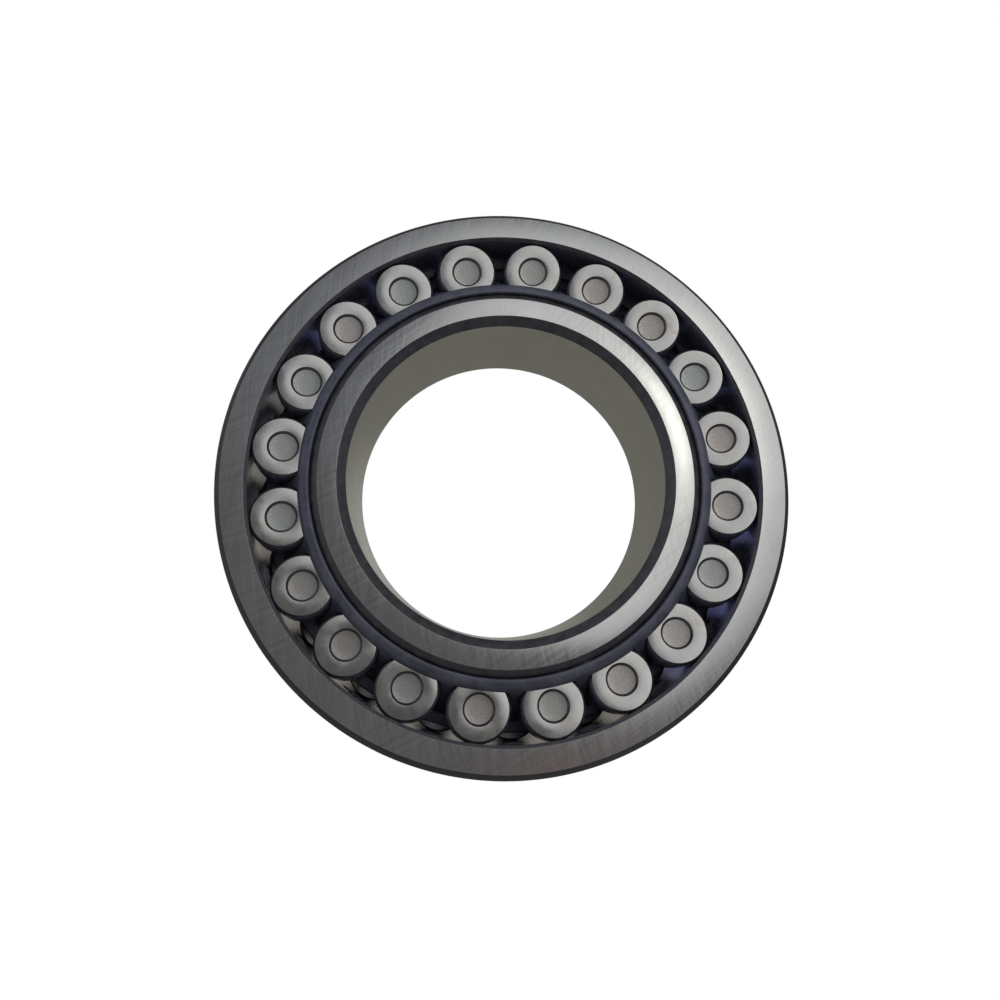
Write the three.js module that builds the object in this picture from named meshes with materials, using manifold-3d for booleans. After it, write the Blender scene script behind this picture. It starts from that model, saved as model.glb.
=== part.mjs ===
// Spherical roller bearing of dimension series 22: 70 mm bore, 125 mm outside diameter, 31 mm wide.
//
// Millimetres. The origin is the bearing's centre, which is also the centre of the outer raceway's sphere.
// +Z runs along the bearing's axis, out of the front face. Both faces are alike.
//
// The outer ring has one raceway, part of a sphere. The inner ring has two, and no ribs. Between them run
// two rows of barrel-shaped rollers, each row in a pressed steel cage of its own. A loose guide ring sits
// between the rows. The rear row stands half a pitch round from the front one.

import * as THREE from "three";
import { mergeVertices } from "three/addons/utils/BufferGeometryUtils.js";
import Module from "manifold-3d";

// The standard envelope.
const BORE_RADIUS = 35;
const OUTSIDE_RADIUS = 62.5;
const HALF_WIDTH = 15.5;
const OUTSIDE_CHAMFER = 1.4;
const BORE_CHAMFER_RADIAL = 1.75;
const BORE_CHAMFER_AXIAL = 2;

// The rolling geometry: barrel rollers between a sphere and two grooves, on a steep cone.
const SPHERE_RADIUS = 57.5;
const ROLLER_RADIUS = 6.95;
const ROLLER_LENGTH = 12;
const CONTACT_ANGLE = THREE.MathUtils.degToRad(8.7);
const ROLLERS_PER_ROW = 20;
const GROOVE_RADIUS = 57.5;
const BARREL_RADIUS = 57;

// The rollers' centres.
const PITCH_DISTANCE = SPHERE_RADIUS - ROLLER_RADIUS;
const PITCH_RADIUS = PITCH_DISTANCE * Math.cos(CONTACT_ANGLE);
const PITCH_HEIGHT = PITCH_DISTANCE * Math.sin(CONTACT_ANGLE);
const ROLLER_STEP = (2 * Math.PI) / ROLLERS_PER_ROW;

// The outer ring's edges, and the oil groove round it with its holes.
const RACEWAY_EDGE_HEIGHT = 14.9;
const OUTER_FACE_INNER_RADIUS = 56.15;
const OIL_GROOVE_WIDTH = 5.5;
const OIL_GROOVE_FLOOR_WIDTH = 3.8;
const OIL_GROOVE_DEPTH = 0.9;
const OIL_HOLE_RADIUS = 1.5;
const OIL_HOLES = 3;

// The inner ring's edges, and the plain land between its raceways.
const INNER_FACE_OUTER_RADIUS = 40.85;
const GROOVE_EDGE_HEIGHT = 14.3;
const LAND_RADIUS = 44;

// The guide ring: a wedge that fills the gap between the rows.
const GUIDE_INNER_RADIUS = 44.35;
const GUIDE_OUTER_RADIUS = 50.6;
const GUIDE_CLEARANCE = 0.15;

// A cage: a flat rim by the face, bent down into a cone that has a window for each roller, and a flange
// by the mid-plane. It is one sheet all the way.
const SHEET_THICKNESS = 1.4;
const RIM_INNER_RADIUS = 42.65;
const RIM_TOP = 14.85;
const RIM_BEND_RADIUS = 2;
const CONE_ANGLE = THREE.MathUtils.degToRad(32);
const CONE_RADIUS = 45.4;
const CONE_HEIGHT = 13.27;
const FLANGE_OUTER_RADIUS = 55.2;
const FLANGE_BOTTOM = 0.3;
const POCKET_CLEARANCE = 0.25;

// A roller's shallow round recess, and the running clearance that its facets need.
const DIMPLE_RADIUS = 3.4;
const DIMPLE_FLOOR_RADIUS = 2.7;
const DIMPLE_DEPTH = 0.6;
const RUNNING_CLEARANCE = 0.12;

// How finely the round shapes are cut.
const RING_SIDES = 80;
const CAGE_SIDES = 40;
const GUIDE_SIDES = 60;
const ROLLER_SIDES = 16;
const POCKET_SIDES = 12;
const HOLE_SIDES = 8;
const RACEWAY_STEPS = 8;
const GROOVE_STEPS = 3;
const BEND_STEPS = 2;

const wasm = await Module();
wasm.setup();

// A geometry as a solid that can be cut.
function solidFrom(geometry) {
  const bare = geometry.clone();
  bare.deleteAttribute("normal");
  bare.deleteAttribute("uv");
  const merged = mergeVertices(bare, 1e-3);
  const vertProperties = merged.attributes.position.array;
  const triVerts = new Uint32Array(merged.index.array);
  return new wasm.Manifold(new wasm.Mesh({ numProp: 3, vertProperties, triVerts }));
}

// A cut solid as a geometry again.
function geometryFrom(solid) {
  const mesh = solid.getMesh();
  const geometry = new THREE.BufferGeometry();
  geometry.setAttribute("position", new THREE.BufferAttribute(mesh.vertProperties, 3));
  geometry.setIndex(new THREE.BufferAttribute(mesh.triVerts, 1));
  const flat = geometry.toNonIndexed();
  flat.computeVertexNormals();
  return flat;
}

// Turns a profile of [radius, height] pairs about the Z axis.
function revolve(profile, sides) {
  const points = profile.map(([radius, height]) => new THREE.Vector2(radius, height));
  return new THREE.LatheGeometry(points, sides).rotateX(Math.PI / 2);
}

// A closed ring whose lower half mirrors its upper one. The upper half runs from the outside inwards.
function symmetricRing(upperHalf, sides) {
  const lowerHalf = upperHalf.map(([radius, height]) => [radius, -height]).reverse();
  const around = [...lowerHalf, ...upperHalf];
  return revolve([...around, around[0]], sides);
}

// Radius of the inner ring's raceway at a height: a groove centred opposite the bearing's centre.
function grooveRadiusAt(height) {
  const drop = height - 2 * PITCH_HEIGHT;
  return 2 * PITCH_RADIUS + GROOVE_RADIUS - SPHERE_RADIUS - Math.sqrt(GROOVE_RADIUS ** 2 - drop ** 2);
}

// Radius of a roller's barrel at a distance along its axis from its middle.
function barrelRadiusAt(distance) {
  return ROLLER_RADIUS - BARREL_RADIUS + Math.sqrt(BARREL_RADIUS ** 2 - distance ** 2);
}

// Height of the rollers' inner ends above the mid-plane, at a radius.
function rowGapAt(radius) {
  const endHeight = PITCH_HEIGHT - (ROLLER_LENGTH / 2) * Math.cos(CONTACT_ANGLE);
  const endRadius = PITCH_RADIUS + (ROLLER_LENGTH / 2) * Math.sin(CONTACT_ANGLE);
  return endHeight + (radius - endRadius) * Math.tan(CONTACT_ANGLE);
}

function outerRingGeometry() {
  const upperHalf = [
    [OUTSIDE_RADIUS - OIL_GROOVE_DEPTH, OIL_GROOVE_FLOOR_WIDTH / 2],
    [OUTSIDE_RADIUS, OIL_GROOVE_WIDTH / 2],
    [OUTSIDE_RADIUS, HALF_WIDTH - OUTSIDE_CHAMFER],
    [OUTSIDE_RADIUS - OUTSIDE_CHAMFER, HALF_WIDTH],
    [OUTER_FACE_INNER_RADIUS, HALF_WIDTH],
  ];
  const edgeAngle = Math.asin(RACEWAY_EDGE_HEIGHT / SPHERE_RADIUS);
  for (let i = 0; i < RACEWAY_STEPS / 2; i++) {
    const angle = edgeAngle * (1 - (2 * i) / RACEWAY_STEPS);
    upperHalf.push([SPHERE_RADIUS * Math.cos(angle), SPHERE_RADIUS * Math.sin(angle)]);
  }
  let ring = solidFrom(symmetricRing(upperHalf, RING_SIDES));
  const wall = OUTSIDE_RADIUS - SPHERE_RADIUS;
  for (let i = 0; i < OIL_HOLES; i++) {
    const hole = new THREE.CylinderGeometry(OIL_HOLE_RADIUS, OIL_HOLE_RADIUS, 3 * wall, HOLE_SIDES);
    hole.rotateZ(Math.PI / 2);
    hole.translate(OUTSIDE_RADIUS - wall / 2, 0, 0);
    hole.rotateZ((i * 2 * Math.PI) / OIL_HOLES);
    ring = ring.subtract(solidFrom(hole));
  }
  return geometryFrom(ring);
}

function innerRingGeometry() {
  const drop = 2 * PITCH_RADIUS - LAND_RADIUS + GROOVE_RADIUS - SPHERE_RADIUS;
  const landHeight = 2 * PITCH_HEIGHT - Math.sqrt(GROOVE_RADIUS ** 2 - drop ** 2);
  const upperHalf = [];
  for (let i = 0; i <= GROOVE_STEPS; i++) {
    const height = THREE.MathUtils.lerp(landHeight, GROOVE_EDGE_HEIGHT, i / GROOVE_STEPS);
    upperHalf.push([grooveRadiusAt(height), height]);
  }
  upperHalf.push(
    [INNER_FACE_OUTER_RADIUS, HALF_WIDTH],
    [BORE_RADIUS + BORE_CHAMFER_RADIAL, HALF_WIDTH],
    [BORE_RADIUS, HALF_WIDTH - BORE_CHAMFER_AXIAL],
  );
  return symmetricRing(upperHalf, RING_SIDES);
}

function guideRingGeometry() {
  const upperHalf = [
    [GUIDE_OUTER_RADIUS, rowGapAt(GUIDE_OUTER_RADIUS) - GUIDE_CLEARANCE],
    [GUIDE_INNER_RADIUS, rowGapAt(GUIDE_INNER_RADIUS) - GUIDE_CLEARANCE],
  ];
  return symmetricRing(upperHalf, GUIDE_SIDES);
}

// A barrel about the Z axis, with the recess in its +Z end.
function rollerGeometry() {
  const halfLength = ROLLER_LENGTH / 2;
  const endRadius = barrelRadiusAt(halfLength) - RUNNING_CLEARANCE;
  const profile = [
    [0, -halfLength],
    [endRadius, -halfLength],
    [ROLLER_RADIUS - RUNNING_CLEARANCE, 0],
    [endRadius, halfLength],
    [DIMPLE_RADIUS, halfLength],
    [DIMPLE_FLOOR_RADIUS, halfLength - DIMPLE_DEPTH],
    [0, halfLength - DIMPLE_DEPTH],
  ];
  return revolve(profile, ROLLER_SIDES);
}

// Puts an object where a roller runs: `side` is 1 in the front row and -1 in the rear one.
// Its +Z end points out of the bearing. The group that comes back holds it.
function seatAsRoller(object, index, side) {
  const spoke = new THREE.Group();
  spoke.rotation.z = index * ROLLER_STEP;
  object.position.set(PITCH_RADIUS, 0, side * PITCH_HEIGHT);
  object.rotation.y = side > 0 ? -CONTACT_ANGLE : CONTACT_ANGLE - Math.PI;
  spoke.add(object);
  return spoke;
}

// Radius of the cage's cone at a height, on its outer side, or `inset` deep in it.
function coneRadiusAt(height, inset) {
  return CONE_RADIUS + (CONE_HEIGHT - height) * Math.tan(CONE_ANGLE) - inset / Math.cos(CONE_ANGLE);
}

// The front cage. The rear one is the same, turned over.
function cageGeometry() {
  const rimUnderside = RIM_TOP - SHEET_THICKNESS;
  const flangeTop = FLANGE_BOTTOM + SHEET_THICKNESS;
  const bendHeight = RIM_TOP - RIM_BEND_RADIUS;
  const bendRadius = coneRadiusAt(bendHeight, RIM_BEND_RADIUS);
  const section = [
    [RIM_INNER_RADIUS, rimUnderside],
    [coneRadiusAt(rimUnderside, SHEET_THICKNESS), rimUnderside],
    [coneRadiusAt(FLANGE_BOTTOM, SHEET_THICKNESS), FLANGE_BOTTOM],
    [FLANGE_OUTER_RADIUS, FLANGE_BOTTOM],
    [FLANGE_OUTER_RADIUS, flangeTop],
    [coneRadiusAt(flangeTop, 0), flangeTop],
  ];
  for (let i = 0; i <= BEND_STEPS; i++) {
    const angle = THREE.MathUtils.lerp(CONE_ANGLE, Math.PI / 2, i / BEND_STEPS);
    section.push([
      bendRadius + RIM_BEND_RADIUS * Math.cos(angle),
      bendHeight + RIM_BEND_RADIUS * Math.sin(angle),
    ]);
  }
  section.push([RIM_INNER_RADIUS, RIM_TOP], [RIM_INNER_RADIUS, rimUnderside]);
  let cage = solidFrom(revolve(section, CAGE_SIDES));
  const pocketRadius = ROLLER_RADIUS + POCKET_CLEARANCE;
  const pocketLength = ROLLER_LENGTH + 2 * POCKET_CLEARANCE;
  const pocketGeometry = new THREE.CylinderGeometry(pocketRadius, pocketRadius, pocketLength, POCKET_SIDES);
  pocketGeometry.rotateX(Math.PI / 2);
  for (let i = 0; i < ROLLERS_PER_ROW; i++) {
    const pocket = new THREE.Object3D();
    seatAsRoller(pocket, i, 1).updateMatrixWorld(true);
    cage = cage.subtract(solidFrom(pocketGeometry.clone().applyMatrix4(pocket.matrixWorld)));
  }
  return geometryFrom(cage);
}

function ringSteel() {
  return new THREE.MeshStandardMaterial({ color: 0xa9a8a6, roughness: 0.32, metalness: 1 });
}

function rollerSteel() {
  return new THREE.MeshStandardMaterial({ color: 0xb9b6b0, roughness: 0.25, metalness: 1 });
}

function cageSteel() {
  return new THREE.MeshStandardMaterial({ color: 0x23263a, roughness: 0.45, metalness: 0.9 });
}

function namedMesh(name, geometry, material) {
  const mesh = new THREE.Mesh(geometry, material);
  mesh.name = name;
  return mesh;
}

const cageShape = cageGeometry();
const rollerShape = rollerGeometry();

// A row's cage with its rollers: `side` is 1 in the front row and -1 in the rear one.
function cageSet(rowName, side) {
  const set = new THREE.Group();
  const cage = namedMesh(`${rowName}_cage`, cageShape, cageSteel());
  if (side < 0) {
    cage.rotation.x = Math.PI;
  }
  set.add(cage);
  for (let i = 0; i < ROLLERS_PER_ROW; i++) {
    const number = String(i + 1).padStart(2, "0");
    const roller = namedMesh(`${rowName}_roller_${number}`, rollerShape, rollerSteel());
    set.add(seatAsRoller(roller, i, side));
  }
  return set;
}

const bearing = new THREE.Group();
bearing.add(namedMesh("outer_ring", outerRingGeometry(), ringSteel()));
bearing.add(namedMesh("inner_ring", innerRingGeometry(), ringSteel()));
bearing.add(namedMesh("guide_ring", guideRingGeometry(), ringSteel()));

const frontSet = cageSet("front", 1);
const rearSet = cageSet("rear", -1);
rearSet.rotation.z = ROLLER_STEP / 2;
bearing.add(frontSet, rearSet);

export default bearing;
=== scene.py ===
"""A spherical roller bearing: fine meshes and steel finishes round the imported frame.

Metres, in the frame's own axes: the origin is the bearing's centre, and +Z runs out of the front face.
Drawing dimensions are in millimetres, and turn into metres where a mesh is made.
"""

from math import acos, asin, cos, pi, radians, sin, sqrt, tan

import bmesh
import bpy
from mathutils import Matrix, Vector


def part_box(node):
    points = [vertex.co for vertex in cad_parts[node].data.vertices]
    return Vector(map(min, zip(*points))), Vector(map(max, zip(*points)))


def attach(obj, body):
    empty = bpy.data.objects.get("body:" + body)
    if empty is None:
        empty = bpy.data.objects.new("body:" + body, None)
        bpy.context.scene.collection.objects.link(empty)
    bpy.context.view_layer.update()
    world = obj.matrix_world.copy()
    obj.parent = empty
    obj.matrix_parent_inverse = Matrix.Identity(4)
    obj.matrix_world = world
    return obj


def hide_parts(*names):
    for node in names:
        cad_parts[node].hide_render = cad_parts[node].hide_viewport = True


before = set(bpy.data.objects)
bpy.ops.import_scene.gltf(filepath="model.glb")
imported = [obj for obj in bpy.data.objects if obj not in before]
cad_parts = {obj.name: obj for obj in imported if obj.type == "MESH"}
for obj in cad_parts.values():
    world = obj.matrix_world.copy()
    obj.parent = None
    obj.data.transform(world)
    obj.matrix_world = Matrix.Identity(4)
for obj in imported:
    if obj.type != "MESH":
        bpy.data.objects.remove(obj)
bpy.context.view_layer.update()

MM = 0.001

# ---------------------------------------------------------------------------------------------------
# Dimensions, in millimetres. The envelope comes from the frame.
# ---------------------------------------------------------------------------------------------------
OUTSIDE_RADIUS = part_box("outer_ring")[1].x / MM
HALF_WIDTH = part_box("outer_ring")[1].z / MM
BORE_RADIUS = 35
OUTSIDE_CHAMFER = 1.4
BORE_CHAMFER_RADIAL = 1.75
BORE_CHAMFER_AXIAL = 2

SPHERE_RADIUS = 57.5
GROOVE_RADIUS = 57.5
BARREL_RADIUS = 57
ROLLER_RADIUS = 6.9
ROLLER_LENGTH = 12
PITCH_DISTANCE = 50.55
CONTACT_ANGLE = radians(8.7)
PITCH_RADIUS = PITCH_DISTANCE * cos(CONTACT_ANGLE)
PITCH_HEIGHT = PITCH_DISTANCE * sin(CONTACT_ANGLE)
ROLLERS_PER_ROW = 20
ROLLER_STEP = 2 * pi / ROLLERS_PER_ROW

RACEWAY_EDGE_HEIGHT = 14.9
OUTER_FACE_INNER_RADIUS = 56.15
OIL_GROOVE_WIDTH = 5.5
OIL_GROOVE_FLOOR_WIDTH = 3.8
OIL_GROOVE_DEPTH = 0.9
OIL_HOLE_RADIUS = 1.5
OIL_HOLES = 3

INNER_FACE_OUTER_RADIUS = 40.85
GROOVE_EDGE_HEIGHT = 14.3
LAND_RADIUS = 44

GUIDE_INNER_RADIUS = 44.35
GUIDE_OUTER_RADIUS = 50.6
GUIDE_CLEARANCE = 0.2

SHEET_THICKNESS = 1.4
RIM_INNER_RADIUS = 42.65
RIM_TOP = 14.85
BEND_RADIUS = 2
CONE_ANGLE = radians(32)
CONE_RADIUS = 45.4
CONE_HEIGHT = 13.27
FLANGE_OUTER_RADIUS = 55.2
FLANGE_BOTTOM = 0.3
POCKET_CLEARANCE = 0.25

DIMPLE_RADIUS = 3.4
DIMPLE_FLOOR_RADIUS = 2.95
DIMPLE_DEPTH = 0.6
DIMPLE_DISH = 0.06
ROLLER_CORNER = 0.38

# Radii of the fillets on the edges.
FACE_FILLET = 0.08
RACEWAY_FILLET = 0.06
OUTSIDE_FILLET = 0.15
OIL_GROOVE_EDGE_FILLET = 0.12
OIL_GROOVE_FLOOR_FILLET = 0.4
BORE_CHAMFER_FILLET = 0.07
BORE_FILLET = 0.3
GUIDE_OUTSIDE_FILLET = 0.15
SHEET_FILLET = 0.45
BARREL_FILLET = 0.15
ROLLER_END_FILLET = 0.1
DIMPLE_FILLET = 0.06
DIMPLE_FLOOR_FILLET = 0.2

# How finely round shapes are cut. The raceway's steps are odd in number, so no point is on the mid-plane.
RING_SIDES = 320
ROLLER_SIDES = 80
HOLE_SIDES = 32
RACEWAY_STEPS = 49
GROOVE_STEPS = 16
BARREL_STEPS = 12
FILLET_STEPS = 5

# An edge that turns by more than this is drawn sharp.
SHARP_ANGLE = radians(28)
# Points that a cut leaves closer together than this are merged.
MERGE_DISTANCE = 0.0005

# ---------------------------------------------------------------------------------------------------
# Mesh helpers
# ---------------------------------------------------------------------------------------------------


def rounded_outline(corners):
    """Turns (radius, height, fillet, surface) corners into ((radius, height), surface) points.

    `surface` names the stretch from that corner to the next one. A fillet's first half belongs to the
    stretch before it.
    """
    points = []
    for i, (radius, height, fillet, surface) in enumerate(corners):
        if fillet == 0:
            points.append(((radius, height), surface))
            continue
        here = Vector((radius, height))
        back = (Vector(corners[i - 1][:2]) - here).normalized()
        ahead = (Vector(corners[(i + 1) % len(corners)][:2]) - here).normalized()
        half = acos(back.dot(ahead)) / 2
        centre = here + (back + ahead).normalized() * (fillet / sin(half))
        start = (here + back * (fillet / tan(half)) - centre).normalized()
        end = (here + ahead * (fillet / tan(half)) - centre).normalized()
        for step in range(FILLET_STEPS + 1):
            share = step / FILLET_STEPS
            point = centre + fillet * start.slerp(end, share)
            points.append((tuple(point), surface if share > 0.5 else corners[i - 1][3]))
    return points


def ring_corners(upper, closing):
    """A ring's whole outline from its upper half, which runs from the outside inwards.

    `closing` is the surface on the outside, between the lower half and the upper one.
    """
    lower = [
        (radius, -height, fillet, upper[i - 1][3] if i > 0 else closing)
        for i, (radius, height, fillet, _) in enumerate(upper)
    ]
    return upper + lower[::-1]


def revolve(outline, sides, surfaces, closed=True):
    """A bmesh made by turning an outline about Z. A face's slot is its surface's place in `surfaces`."""
    bm = bmesh.new()
    rings = []
    for (radius, height), _ in outline:
        if radius == 0:
            rings.append([bm.verts.new((0, 0, height * MM))] * sides)
            continue
        turns = [2 * pi * k / sides for k in range(sides)]
        rings.append([
            bm.verts.new((radius * cos(t) * MM, radius * sin(t) * MM, height * MM)) for t in turns
        ])
    for i in range(len(rings) if closed else len(rings) - 1):
        here, ahead = rings[i], rings[(i + 1) % len(rings)]
        for k in range(sides):
            after = (k + 1) % sides
            loop = [here[k], here[after], ahead[after], ahead[k]]
            face = bm.faces.new(list(dict.fromkeys(loop)))
            face.material_index = surfaces.index(outline[i][1])
    bmesh.ops.recalc_face_normals(bm, faces=bm.faces)
    return bm


def shade(bm):
    """Smooths the faces, and keeps the edges between steep neighbours sharp."""
    for face in bm.faces:
        face.smooth = True
    for edge in bm.edges:
        edge.smooth = len(edge.link_faces) == 2 and edge.calc_face_angle() < SHARP_ANGLE


def mesh_from(bm, name, materials=()):
    """A mesh from a bmesh, which is freed."""
    shade(bm)
    mesh = bpy.data.meshes.new(name)
    bm.to_mesh(mesh)
    bm.free()
    for material in materials:
        mesh.materials.append(material)
    return mesh


def add_piece(name, mesh, place=Matrix.Identity(4)):
    piece = bpy.data.objects.new(name, mesh)
    piece.matrix_world = place
    bpy.context.scene.collection.objects.link(piece)
    return piece


def mount(piece, node):
    """The piece stands for the CAD node of the same body."""
    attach(piece, node)
    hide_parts(node)


def cut(piece, cutter, places):
    """Takes a copy of the cutter out of the piece at each place."""
    tool_shape = bmesh.new()
    for place in places:
        moved = cutter.copy()
        moved.transform(place)
        tool_shape.from_mesh(moved)
        bpy.data.meshes.remove(moved)
    tool = add_piece("cutter", mesh_from(tool_shape, "cutter"))
    boolean = piece.modifiers.new("cut", "BOOLEAN")
    boolean.solver = "EXACT"
    boolean.object = tool
    shape = bmesh.new()
    shape.from_object(piece, bpy.context.evaluated_depsgraph_get())
    piece.modifiers.clear()
    bmesh.ops.remove_doubles(shape, verts=shape.verts, dist=MERGE_DISTANCE * MM)
    shade(shape)
    shape.to_mesh(piece.data)
    shape.free()
    used = tool.data
    bpy.data.objects.remove(tool)
    bpy.data.meshes.remove(used)


# ---------------------------------------------------------------------------------------------------
# Shapes
# ---------------------------------------------------------------------------------------------------


def groove_radius_at(height):
    """Radius of the inner ring's raceway, a groove centred opposite the bearing's centre."""
    drop = height - 2 * PITCH_HEIGHT
    middle = 2 * PITCH_RADIUS + GROOVE_RADIUS - SPHERE_RADIUS
    return middle - sqrt(GROOVE_RADIUS**2 - drop**2)


def barrel_radius_at(distance):
    """Radius of a roller's barrel at a distance along its axis from its middle."""
    return ROLLER_RADIUS - BARREL_RADIUS + sqrt(BARREL_RADIUS**2 - distance**2)


def row_gap_at(radius):
    """Height of the rollers' inner ends above the mid-plane."""
    end_height = PITCH_HEIGHT - ROLLER_LENGTH / 2 * cos(CONTACT_ANGLE)
    end_radius = PITCH_RADIUS + ROLLER_LENGTH / 2 * sin(CONTACT_ANGLE)
    return end_height + (radius - end_radius) * tan(CONTACT_ANGLE)


def cone_radius_at(height, inset):
    """Radius of the cage's cone on its outer side, or `inset` deep in it."""
    return CONE_RADIUS + (CONE_HEIGHT - height) * tan(CONE_ANGLE) - inset / cos(CONE_ANGLE)


def seat(index, side):
    """Where a roller runs: `side` is 1 in the front row and -1 in the rear one. Its +Z end points out."""
    turn = index * ROLLER_STEP + (0 if side > 0 else ROLLER_STEP / 2)
    tilt = -CONTACT_ANGLE if side > 0 else CONTACT_ANGLE - pi
    middle = Matrix.Translation((PITCH_RADIUS * MM, 0, side * PITCH_HEIGHT * MM))
    return Matrix.Rotation(turn, 4, "Z") @ middle @ Matrix.Rotation(tilt, 4, "Y")


def outer_ring_mesh(finishes):
    surfaces = ["face", "raceway", "outside", "chamfer", "edge", "oil groove"]
    floor_radius = OUTSIDE_RADIUS - OIL_GROOVE_DEPTH
    upper = [
        (floor_radius, OIL_GROOVE_FLOOR_WIDTH / 2, OIL_GROOVE_FLOOR_FILLET, "oil groove"),
        (OUTSIDE_RADIUS, OIL_GROOVE_WIDTH / 2, OIL_GROOVE_EDGE_FILLET, "outside"),
        (OUTSIDE_RADIUS, HALF_WIDTH - OUTSIDE_CHAMFER, OUTSIDE_FILLET, "edge"),
        (OUTSIDE_RADIUS - OUTSIDE_CHAMFER, HALF_WIDTH, FACE_FILLET, "face"),
        (OUTER_FACE_INNER_RADIUS, HALF_WIDTH, RACEWAY_FILLET, "chamfer"),
    ]
    edge_angle = asin(RACEWAY_EDGE_HEIGHT / SPHERE_RADIUS)
    for i in range((RACEWAY_STEPS + 1) // 2):
        angle = edge_angle * (1 - 2 * i / RACEWAY_STEPS)
        fillet = RACEWAY_FILLET if i == 0 else 0
        upper.append((SPHERE_RADIUS * cos(angle), SPHERE_RADIUS * sin(angle), fillet, "raceway"))
    outline = rounded_outline(ring_corners(upper, "oil groove"))
    shape = revolve(outline, RING_SIDES, surfaces)
    return mesh_from(shape, "outer_ring_fine", [finishes[name] for name in surfaces])


def oil_hole_mesh():
    """A drill that goes through the outer ring's wall at +X."""
    wall = OUTSIDE_RADIUS - SPHERE_RADIUS
    path = [(0, -wall), (OIL_HOLE_RADIUS, -wall), (OIL_HOLE_RADIUS, wall), (0, wall)]
    outline = [(point, "hole") for point in path]
    shape = revolve(outline, HOLE_SIDES, ["hole"], closed=False)
    middle = (OUTSIDE_RADIUS + SPHERE_RADIUS) / 2
    shape.transform(Matrix.Translation((middle * MM, 0, 0)) @ Matrix.Rotation(pi / 2, 4, "Y"))
    return mesh_from(shape, "oil_hole")


def inner_ring_mesh(finishes):
    surfaces = ["inner face", "raceway", "bore", "chamfer", "land"]
    drop = 2 * PITCH_RADIUS - LAND_RADIUS + GROOVE_RADIUS - SPHERE_RADIUS
    land_height = 2 * PITCH_HEIGHT - sqrt(GROOVE_RADIUS**2 - drop**2)
    upper = []
    for i in range(GROOVE_STEPS + 1):
        height = land_height + (GROOVE_EDGE_HEIGHT - land_height) * i / GROOVE_STEPS
        surface = "raceway" if i < GROOVE_STEPS else "chamfer"
        fillet = FACE_FILLET if i in (0, GROOVE_STEPS) else 0
        upper.append((groove_radius_at(height), height, fillet, surface))
    upper += [
        (INNER_FACE_OUTER_RADIUS, HALF_WIDTH, FACE_FILLET, "inner face"),
        (BORE_RADIUS + BORE_CHAMFER_RADIAL, HALF_WIDTH, BORE_CHAMFER_FILLET, "chamfer"),
        (BORE_RADIUS, HALF_WIDTH - BORE_CHAMFER_AXIAL, BORE_FILLET, "bore"),
    ]
    shape = revolve(rounded_outline(ring_corners(upper, "land")), RING_SIDES, surfaces)
    return mesh_from(shape, "inner_ring_fine", [finishes[name] for name in surfaces])


def guide_ring_mesh(finishes):
    surfaces = ["side", "rim"]
    outer_height = row_gap_at(GUIDE_OUTER_RADIUS) - GUIDE_CLEARANCE
    inner_height = row_gap_at(GUIDE_INNER_RADIUS) - GUIDE_CLEARANCE
    upper = [
        (GUIDE_OUTER_RADIUS, outer_height, GUIDE_OUTSIDE_FILLET, "side"),
        (GUIDE_INNER_RADIUS, inner_height, FACE_FILLET, "rim"),
    ]
    shape = revolve(rounded_outline(ring_corners(upper, "rim")), RING_SIDES, surfaces)
    return mesh_from(shape, "guide_ring_fine", [finishes[name] for name in surfaces])


def cage_mesh(finish):
    """The front cage's bent sheet, with no windows yet."""
    underside = RIM_TOP - SHEET_THICKNESS
    flange_top = FLANGE_BOTTOM + SHEET_THICKNESS
    inner_bend = BEND_RADIUS - SHEET_THICKNESS
    path = [
        (RIM_INNER_RADIUS, RIM_TOP, SHEET_FILLET),
        (RIM_INNER_RADIUS, underside, SHEET_FILLET),
        (cone_radius_at(underside, SHEET_THICKNESS), underside, inner_bend),
        (cone_radius_at(FLANGE_BOTTOM, SHEET_THICKNESS), FLANGE_BOTTOM, BEND_RADIUS),
        (FLANGE_OUTER_RADIUS, FLANGE_BOTTOM, SHEET_FILLET),
        (FLANGE_OUTER_RADIUS, flange_top, SHEET_FILLET),
        (cone_radius_at(flange_top, 0), flange_top, inner_bend),
        (cone_radius_at(RIM_TOP, 0), RIM_TOP, BEND_RADIUS),
    ]
    outline = rounded_outline([(*corner, "sheet") for corner in path])
    return mesh_from(revolve(outline, RING_SIDES, ["sheet"]), "cage_fine", [finish])


def window_mesh():
    """A roller with its clearance all round, which is what a cage's window is cut with."""
    half = ROLLER_LENGTH / 2 + POCKET_CLEARANCE
    outline = [((0, -half), "window")]
    for i in range(BARREL_STEPS + 1):
        distance = half * (2 * i / BARREL_STEPS - 1)
        outline.append(((barrel_radius_at(distance) + POCKET_CLEARANCE, distance), "window"))
    outline.append(((0, half), "window"))
    return mesh_from(revolve(outline, ROLLER_SIDES, ["window"], closed=False), "window")


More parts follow.
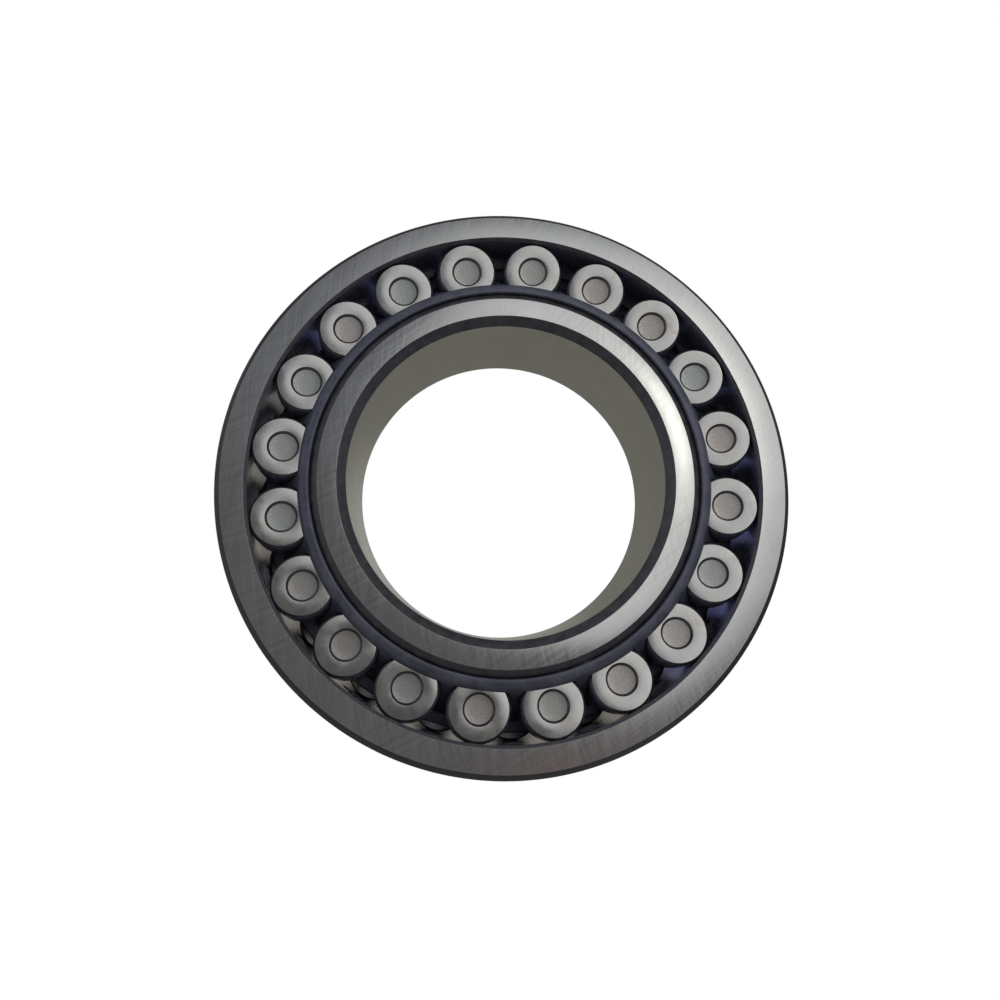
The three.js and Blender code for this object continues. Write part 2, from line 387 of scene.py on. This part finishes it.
def roller_mesh(finishes):
    """A barrel about its own Z axis, with the recess in its +Z end."""
    surfaces = ["barrel", "end", "corner", "wall", "dimple"]
    half = ROLLER_LENGTH / 2
    floor = half - DIMPLE_DEPTH
    flat_radius = barrel_radius_at(half) - ROLLER_CORNER
    corners = [(0, -half, 0, "end"), (flat_radius, -half, ROLLER_END_FILLET, "corner")]
    for i in range(BARREL_STEPS + 1):
        distance = (half - ROLLER_CORNER) * (2 * i / BARREL_STEPS - 1)
        fillet = BARREL_FILLET if i in (0, BARREL_STEPS) else 0
        surface = "barrel" if i < BARREL_STEPS else "corner"
        corners.append((barrel_radius_at(distance), distance, fillet, surface))
    corners += [
        (flat_radius, half, ROLLER_END_FILLET, "end"),
        (DIMPLE_RADIUS, half, DIMPLE_FILLET, "wall"),
        (DIMPLE_FLOOR_RADIUS, floor + DIMPLE_DISH, DIMPLE_FLOOR_FILLET, "dimple"),
        (DIMPLE_FLOOR_RADIUS / 2, floor + DIMPLE_DISH / 4, 0, "dimple"),
        (0, floor, 0, "dimple"),
    ]
    outline = rounded_outline(corners)
    shape = revolve(outline, ROLLER_SIDES, surfaces, closed=False)
    return mesh_from(shape, "roller_fine", [finishes[name] for name in surfaces])


# ---------------------------------------------------------------------------------------------------
# Finishes. Patterns are in the piece's own coordinates, in metres.
# ---------------------------------------------------------------------------------------------------
ORIGIN = (0, 0, 0)
WHITE = (1, 1, 1)

OIL_STAIN = (0.42, 0.33, 0.22)
DIMPLE_GREEN = (0.37, 0.39, 0.37)
DIMPLE_PINK = (0.43, 0.38, 0.35)
DIMPLE_SPECK = (0.29, 0.29, 0.285)
CAGE_DARK = (0.14, 0.147, 0.187)
CAGE_WORN = (0.237, 0.244, 0.295)
# Each roller's pattern is moved by up to this much, in metres.
PATTERN_SHIFT = 7.3
# How deep the lines and pits are, in metres.
GROUND_LINE_DEPTH = 0.000004
TURNED_LINE_DEPTH = 0.000002
END_LINE_DEPTH = 0.0000015
SCALE_PIT_DEPTH = 0.000015
SPECKLE_DEPTH = 0.00001


def node(tree, kind, inputs=None, **settings):
    """Adds a shader node. `inputs` maps its inputs to values, or to other nodes' outputs."""
    made = tree.nodes.new("ShaderNode" + kind)
    for key, value in settings.items():
        setattr(made, key, value)
    for key, value in (inputs or {}).items():
        if isinstance(value, bpy.types.NodeSocket):
            tree.links.new(value, made.inputs[key])
        else:
            made.inputs[key].default_value = value
    return made


def math_of(tree, operation, *values):
    return node(tree, "Math", dict(enumerate(values)), operation=operation).outputs[0]


def blend(tree, first, first_share, second, second_share):
    """Two values added up, each times its share."""
    return math_of(
        tree, "ADD",
        math_of(tree, "MULTIPLY", first, first_share),
        math_of(tree, "MULTIPLY", second, second_share),
    )


def coordinates(tree):
    """The piece's own position, and its x, y and z."""
    place = node(tree, "TexCoord").outputs["Object"]
    split = node(tree, "SeparateXYZ", {0: place})
    return place, split.outputs


def noise(tree, place, scale, detail=3, roughness=0.5, distortion=0):
    """Cloudy noise about 0.5; `scale` is its features per metre."""
    inputs = {
        "Vector": place, "Scale": scale, "Detail": detail,
        "Roughness": roughness, "Distortion": distortion,
    }
    return node(tree, "TexNoise", inputs).outputs["Fac"]


def lines(tree, across, scale):
    """Noise of one coordinate: parallel lines, `scale` of them per metre."""
    inputs = {"W": across, "Scale": scale, "Detail": 4, "Roughness": 0.65}
    return node(tree, "TexNoise", inputs, noise_dimensions="1D").outputs["Fac"]


def spread(tree, value, low, high, to_low=0, to_high=1):
    """Maps low..high to to_low..to_high with a soft start and end."""
    inputs = {
        "Value": value, "From Min": low, "From Max": high, "To Min": to_low, "To Max": to_high,
    }
    return node(tree, "MapRange", inputs, interpolation_type="SMOOTHSTEP").outputs[0]


def mixed(tree, share, low, high):
    """A colour between two others, each a value or an output."""
    made = node(tree, "Mix", data_type="RGBA")
    for key, value in ((0, share), (6, low), (7, high)):
        if isinstance(value, bpy.types.NodeSocket):
            tree.links.new(value, made.inputs[key])
        else:
            made.inputs[key].default_value = value if key == 0 else (*value, 1)
    return made.outputs[2]


def bumped(tree, height, distance):
    return node(tree, "Bump", {"Height": height, "Distance": distance, "Strength": 1}).outputs[0]


def distance_from(tree, place, centre):
    return node(tree, "VectorMath", {0: place, 1: centre}, operation="DISTANCE").outputs["Value"]


def along(tree, place, way):
    """How far a place lies along a direction."""
    return node(tree, "VectorMath", {0: place, 1: way}, operation="DOT_PRODUCT").outputs["Value"]


def new_finish(name, metallic=1):
    """A material with its shader, metallic unless it says otherwise."""
    material = bpy.data.materials.new(name)
    material.use_nodes = True
    shader = material.node_tree.nodes["Principled BSDF"]
    shader.inputs["Metallic"].default_value = metallic
    return material, material.node_tree, shader


def connect(tree, shader, colour, roughness, normal):
    tree.links.new(colour, shader.inputs["Base Color"])
    tree.links.new(roughness, shader.inputs["Roughness"])
    tree.links.new(normal, shader.inputs["Normal"])


def arcs(tree, place, centre, scale):
    """Grinding arcs about a far-off point: lines of noise in the distance from it."""
    return lines(tree, distance_from(tree, place, centre), scale)


def face_finish(name, bright, dark, roughness):
    """A ground side face: two crossing families of long fine arcs, and a third that is coarser."""
    material, tree, shader = new_finish(name)
    place, _ = coordinates(tree)
    cross = math_of(
        tree, "ADD",
        arcs(tree, place, centre=(0.21, 0.05, 0), scale=1500),
        arcs(tree, place, centre=(-0.16, 0.17, 0), scale=1200),
    )
    coarse = arcs(tree, place, centre=(0.19, -0.03, 0), scale=420)
    clouds = noise(tree, place, scale=90, detail=4)
    grain = blend(tree, cross, 0.35, coarse, 0.3)
    tone = spread(tree, blend(tree, grain, 1, clouds, 0.35), 0.4, 0.95)
    colour = mixed(tree, tone, dark, bright)
    rough = spread(tree, grain, 0.3, 0.7, roughness - 0.04, roughness + 0.05)
    connect(tree, shader, colour, rough, bumped(tree, grain, GROUND_LINE_DEPTH))
    return material


def turned_finish(name, bright, dark, roughness, lay="z", metallic=1):
    """A surface ground or turned about the axis: fine lines round it, and cloudy wear.

    `lay` says whether the lines follow one another along Z or out along the radius.
    """
    material, tree, shader = new_finish(name, metallic)
    place, split = coordinates(tree)
    if lay == "radius":
        fine = lines(tree, distance_from(tree, place, ORIGIN), scale=6000)
    else:
        fine = lines(tree, split[2], scale=9000)
    clouds = noise(tree, place, scale=160, detail=4, distortion=0.3)
    tone = spread(tree, blend(tree, fine, 0.5, clouds, 0.5), 0.3, 0.7)
    colour = mixed(tree, tone, dark, bright)
    rough = spread(tree, clouds, 0.3, 0.7, roughness - 0.03, roughness + 0.05)
    connect(tree, shader, colour, rough, bumped(tree, fine, TURNED_LINE_DEPTH))
    return material


def scale_finish(name, bright, dark, roughness, metallic):
    """Steel left as it came from the furnace: dark, mottled and a little rough."""
    material, tree, shader = new_finish(name, metallic)
    place, _ = coordinates(tree)
    mottle = noise(tree, place, scale=420, detail=5, roughness=0.6)
    pits = noise(tree, place, scale=3500, detail=2)
    colour = mixed(tree, spread(tree, mottle, 0.35, 0.7), dark, bright)
    rough = spread(tree, mottle, 0.3, 0.7, roughness - 0.08, roughness + 0.08)
    connect(tree, shader, colour, rough, bumped(tree, pits, SCALE_PIT_DEPTH))
    return material


def roller_end_finish(name, bright, dark, roughness):
    """A roller's ground end: faint cross lines, and the odd tan stain of old oil, each roller its own."""
    material, tree, shader = new_finish(name)
    place, split = coordinates(tree)
    own = node(tree, "ObjectInfo").outputs["Random"]
    shift = math_of(tree, "MULTIPLY", own, PATTERN_SHIFT)
    moved = node(tree, "VectorMath", {0: place, 1: shift}, operation="ADD").outputs[0]
    fine = lines(tree, split[0], scale=5200)
    clouds = noise(tree, moved, scale=260, detail=4, distortion=0.6)
    stained = noise(tree, moved, scale=180, distortion=1.2)
    stains = spread(tree, stained, 0.6, 0.78, 0, 0.55)
    tone = spread(tree, blend(tree, fine, 0.3, clouds, 0.7), 0.3, 0.7)
    clean = mixed(tree, tone, dark, bright)
    colour = mixed(tree, stains, clean, OIL_STAIN)
    rough = spread(tree, clouds, 0.3, 0.7, roughness - 0.03, roughness + 0.04)
    connect(tree, shader, colour, rough, bumped(tree, fine, END_LINE_DEPTH))
    return material


def dimple_finish(name):
    """The recess in a roller's end: coined, matt, and tinted a little differently in each roller."""
    material, tree, shader = new_finish(name)
    place, _ = coordinates(tree)
    own = node(tree, "ObjectInfo").outputs["Random"]
    tint = mixed(tree, own, DIMPLE_GREEN, DIMPLE_PINK)
    speckle = noise(tree, place, scale=2600)
    colour = mixed(tree, spread(tree, speckle, 0.3, 0.75, 0, 0.35), tint, DIMPLE_SPECK)
    rough = spread(tree, speckle, 0.3, 0.7, 0.26, 0.36)
    connect(tree, shader, colour, rough, bumped(tree, speckle, SPECKLE_DEPTH))
    return material


def cage_finish(name):
    """Pressed sheet, darkened blue-grey, worn a shade lighter in streaks."""
    material, tree, shader = new_finish(name, metallic=0.55)
    place, _ = coordinates(tree)
    clouds = noise(tree, place, scale=240, detail=4, distortion=0.4)
    speckle = noise(tree, place, scale=2400)
    tone = blend(tree, clouds, 0.6, speckle, 0.4)
    colour = mixed(tree, spread(tree, tone, 0.35, 0.68), CAGE_DARK, CAGE_WORN)
    rough = spread(tree, tone, 0.3, 0.7, 0.42, 0.58)
    connect(tree, shader, colour, rough, bumped(tree, speckle, SPECKLE_DEPTH))
    return material


# ---------------------------------------------------------------------------------------------------
# The bearing
# ---------------------------------------------------------------------------------------------------
dark_scale = scale_finish("hardened_scale", (0.165, 0.158, 0.17), (0.11, 0.105, 0.116), 0.42, 0.8)

ring_finishes = {
    "face": face_finish("outer_face", (0.65, 0.645, 0.615), (0.475, 0.48, 0.475), 0.265),
    "inner face": face_finish("inner_face", (0.65, 0.645, 0.615), (0.475, 0.475, 0.46), 0.205),
    # The raceway is darker and bluer than the other ground steel: painted reflection of the dark blue
    # cage it mirrors, and painted shade between the rows.
    "raceway": turned_finish("raceway", (0.30, 0.30, 0.36), (0.22, 0.22, 0.275), 0.25, metallic=0.4),
    "outside": turned_finish("ground_outside", (0.62, 0.615, 0.60), (0.52, 0.515, 0.50), 0.22),
    "bore": turned_finish("ground_bore", (0.62, 0.615, 0.58), (0.52, 0.515, 0.485), 0.24),
    "land": turned_finish("ground_land", (0.55, 0.54, 0.52), (0.46, 0.455, 0.44), 0.3),
    "oil groove": scale_finish("turned_groove", (0.22, 0.21, 0.20), (0.11, 0.105, 0.10), 0.4, 1),
    "chamfer": dark_scale,
    "edge": scale_finish("edge_scale", (0.07, 0.069, 0.074), (0.04, 0.039, 0.043), 0.45, 0.8),
    "side": turned_finish("guide_side", (0.5, 0.49, 0.47), (0.4, 0.39, 0.38), 0.3, "radius"),
    "rim": turned_finish("guide_rim", (0.5, 0.49, 0.47), (0.4, 0.39, 0.38), 0.3),
}
roller_finishes = {
    # The barrels' dark blue tint is painted reflection of the cage and painted shade between the rows, as
    # on the raceway.
    "barrel": turned_finish(
        "roller_barrel_painted_shade_and_reflection", (0.32, 0.325, 0.41), (0.24, 0.245, 0.325), 0.2, metallic=0.45,
    ),
    "end": roller_end_finish("roller_end", (0.55, 0.54, 0.515), (0.43, 0.425, 0.405), 0.16),
    "corner": scale_finish("roller_corner", (0.17, 0.165, 0.175), (0.10, 0.098, 0.108), 0.35, 0.8),
    # The recess wall's dark finish is painted shade: it draws the dark ring that shade and dark
    # reflections make round the recess.
    "wall": scale_finish("dimple_wall_painted_shade", (0.22, 0.215, 0.21), (0.15, 0.148, 0.15), 0.35, 0.9),
    "dimple": dimple_finish("roller_dimple"),
}

outer_ring = add_piece("outer_ring_fine", outer_ring_mesh(ring_finishes))
oil_hole_places = [Matrix.Rotation(i * 2 * pi / OIL_HOLES, 4, "Z") for i in range(OIL_HOLES)]
cut(outer_ring, oil_hole_mesh(), oil_hole_places)
mount(outer_ring, "outer_ring")

inner_ring = add_piece("inner_ring_fine", inner_ring_mesh(ring_finishes))
mount(inner_ring, "inner_ring")

guide_ring = add_piece("guide_ring_fine", guide_ring_mesh(ring_finishes))
mount(guide_ring, "guide_ring")

front_cage = add_piece("front_cage_fine", cage_mesh(cage_finish("cage_sheet")))
cut(front_cage, window_mesh(), [seat(i, 1) for i in range(ROLLERS_PER_ROW)])
turned_over = Matrix.Rotation(ROLLER_STEP / 2, 4, "Z") @ Matrix.Rotation(pi, 4, "X")
rear_cage = add_piece("rear_cage_fine", front_cage.data, turned_over)
mount(front_cage, "front_cage")
mount(rear_cage, "rear_cage")

roller_shape = roller_mesh(roller_finishes)
for row, side in (("front", 1), ("rear", -1)):
    for i in range(ROLLERS_PER_ROW):
        name = f"{row}_roller_{i + 1:02d}"
        roller = add_piece(f"{name}_fine", roller_shape, seat(i, side))
        mount(roller, name)

# ---------------------------------------------------------------------------------------------------
# Floor, light and camera. Places are in metres, and colours of light are what the steel mirrors.
# ---------------------------------------------------------------------------------------------------
FLOOR_SIZE = 12
# In millimetres: the floor lies a little low, so that the inner ring clears it at the ends of the swivel.
FLOOR_DROP = 2.8

# The camera sees plain white. What the steel sees is the floor's glow, with shade and light painted in:
# in the bore and beneath the rollers it is darker towards the side where the lamps stand, painted shade
# for the rings keeping their light off it, and beneath the rollers it glows warm on the far side and blue
# on the lamps' side, painted light that stands in for the light scattered between the rows.
BORE_LIT = (0.43, 0.425, 0.395)
BORE_SHADED = (0.20, 0.197, 0.175)
UNDER_LIT = (0.58, 0.55, 0.46)
UNDER_SHADED = (0.21, 0.23, 0.44)
SHADED_SIDE = (0.52, 0.85, 0)
BORE_REACH = 0.034
UNDER_REACH = 0.018
UNDER_INSIDE = 0.038
UNDER_OUTSIDE = 0.057
UNDER_BLEND = 0.002

# The studio's walls: lighter on one side, and lighter still towards the horizon. To the camera, white.
WORLD_LIGHT = (0.172, 0.18, 0.203)
WORLD_SHADE = (0.085, 0.083, 0.088)
LIGHT_SIDE = (-0.13, 0.99, 0)
LIGHT_BLEND = (-0.7, 0.1)
HORIZON_GAIN = 2.4
HORIZON_BLEND = (0.2, 0.75)

# The picture is turned by this much about the bearing's axis, and the lamps and the card turn with it.
VIEW_ROLL = radians(7.5)
LAMP_TURN = radians(12)

# A dark card beside the lens: the lower left of every flat face mirrors it. The camera doesn't see it.
CARD_MIDDLE = (-0.0467, -0.0716, 0.163)
CARD_SIZE = (0.32, 0.15)
CARD_TURN = radians(-33.9)
CARD_LIGHT = (0.138, 0.134, 0.138)
SKIN_LIGHT = (0.185, 0.135, 0.135)
SKIN_MIDDLE = (0.085, 0.02, 0)
SKIN_REACH = 0.05

CAMERA_PLACE = (-0.00703, -0.03215, 0.16161)
CAMERA_TURN = (11.32, -3.32, 7.07)
CAMERA_LENS = 24.98
CAMERA_SENSOR = 36
CAMERA_SHIFT = (0.003, -0.0177)
CAMERA_CLIP_START = 0.01


def seen_by_camera(tree):
    return node(tree, "LightPath").outputs["Is Camera Ray"]


def glowing_sheet(name, size, place, colour_in):
    """A flat staged sheet that only gives off light. `colour_in` makes its colour in the node tree."""
    shape = bmesh.new()
    bmesh.ops.create_grid(shape, x_segments=1, y_segments=1, size=0.5)
    shape.transform(Matrix.Diagonal((*size, 1, 1)))
    finish = bpy.data.materials.new(name)
    finish.use_nodes = True
    tree = finish.node_tree
    tree.nodes.remove(tree.nodes["Principled BSDF"])
    glow = node(tree, "Emission", {"Color": colour_in(tree)}).outputs[0]
    tree.links.new(glow, tree.nodes["Material Output"].inputs["Surface"])
    sheet = add_piece(name, mesh_from(shape, name, [finish]), place)
    return sheet


def floor_colour(tree):
    place, _ = coordinates(tree)
    sideways = along(tree, place, SHADED_SIDE)
    away = distance_from(tree, place, ORIGIN)
    # Painted shade on the floor's glow in the bore, and beneath the rollers a painted warm and blue glow
    # that stands in for the light scattered between the rows.
    in_bore = mixed(tree, spread(tree, sideways, -BORE_REACH, 0), BORE_LIT, BORE_SHADED)
    beneath = mixed(tree, spread(tree, sideways, -UNDER_REACH, 0), UNDER_LIT, UNDER_SHADED)
    past_bore = spread(tree, away, UNDER_INSIDE, UNDER_INSIDE + UNDER_BLEND)
    within_ring = spread(tree, away, UNDER_OUTSIDE - UNDER_BLEND, UNDER_OUTSIDE, 1, 0)
    cast = mixed(tree, math_of(tree, "MULTIPLY", past_bore, within_ring), in_bore, beneath)
    return mixed(tree, seen_by_camera(tree), cast, WHITE)


def card_colour(tree):
    place, _ = coordinates(tree)
    away = distance_from(tree, place, SKIN_MIDDLE)
    return mixed(tree, spread(tree, away, 0, SKIN_REACH), SKIN_LIGHT, CARD_LIGHT)


def add_studio_world():
    world = bpy.data.worlds.new("studio")
    bpy.context.scene.world = world
    world.use_nodes = True
    tree = world.node_tree
    way = node(tree, "TexCoord").outputs["Generated"]
    sideways = spread(tree, along(tree, way, LIGHT_SIDE), *LIGHT_BLEND)
    around = mixed(tree, sideways, WORLD_SHADE, WORLD_LIGHT)
    rise = node(tree, "SeparateXYZ", {0: way}).outputs[2]
    gain = spread(tree, rise, *HORIZON_BLEND, HORIZON_GAIN, 1)
    cast = node(tree, "VectorMath", {0: around, "Scale": gain}, operation="SCALE").outputs[0]
    shown = mixed(tree, seen_by_camera(tree), cast, WHITE)
    tree.links.new(shown, tree.nodes["Background"].inputs["Color"])


def overhead_lamp(name, middle, size, height, radiance, colour):
    """A flat soft lamp that faces down, `height` metres up.

    `middle` and `size` are slopes from the origin.
    """
    data = bpy.data.lights.new(name, "AREA")
    data.shape = "RECTANGLE"
    data.size, data.size_y = (side * height for side in size)
    data.energy = radiance * pi * data.size * data.size_y
    data.color = colour
    lamp = bpy.data.objects.new(name, data)
    lamp.location = Matrix.Rotation(VIEW_ROLL, 3, "Z") @ Vector((*middle, 1)) * height
    lamp.rotation_euler = (0, 0, VIEW_ROLL + LAMP_TURN)
    lamp.visible_camera = False
    bpy.context.scene.collection.objects.link(lamp)


def add_camera():
    data = bpy.data.cameras.new("camera")
    data.sensor_width = CAMERA_SENSOR
    data.lens = CAMERA_LENS
    data.shift_x, data.shift_y = CAMERA_SHIFT
    data.clip_start = CAMERA_CLIP_START
    camera = bpy.data.objects.new("camera", data)
    camera.location = CAMERA_PLACE
    camera.rotation_euler = [radians(turn) for turn in CAMERA_TURN]
    bpy.context.scene.collection.objects.link(camera)
    bpy.context.scene.camera = camera


floor_place = Matrix.Translation((0, 0, -(HALF_WIDTH + FLOOR_DROP) * MM))
glowing_sheet("floor", (FLOOR_SIZE, FLOOR_SIZE), floor_place, floor_colour)

card_spot = Matrix.Rotation(VIEW_ROLL, 4, "Z") @ Matrix.Translation(CARD_MIDDLE)
card_place = card_spot @ Matrix.Rotation(CARD_TURN, 4, "Z")
card = glowing_sheet("card", CARD_SIZE, card_place, card_colour)
card.visible_camera = False

add_studio_world()
overhead_lamp(
    "softbox",
    middle=(0.4625, 0.349), size=(0.91, 0.77), height=3, radiance=0.69, colour=WHITE,
)
overhead_lamp(
    "bright_patch",
    middle=(0.335, 0.295), size=(0.125, 0.125), height=2.9, radiance=3.4, colour=(1, 0.98, 0.90),
)
add_camera()
bpy.context.scene.view_settings.view_transform = "Standard"
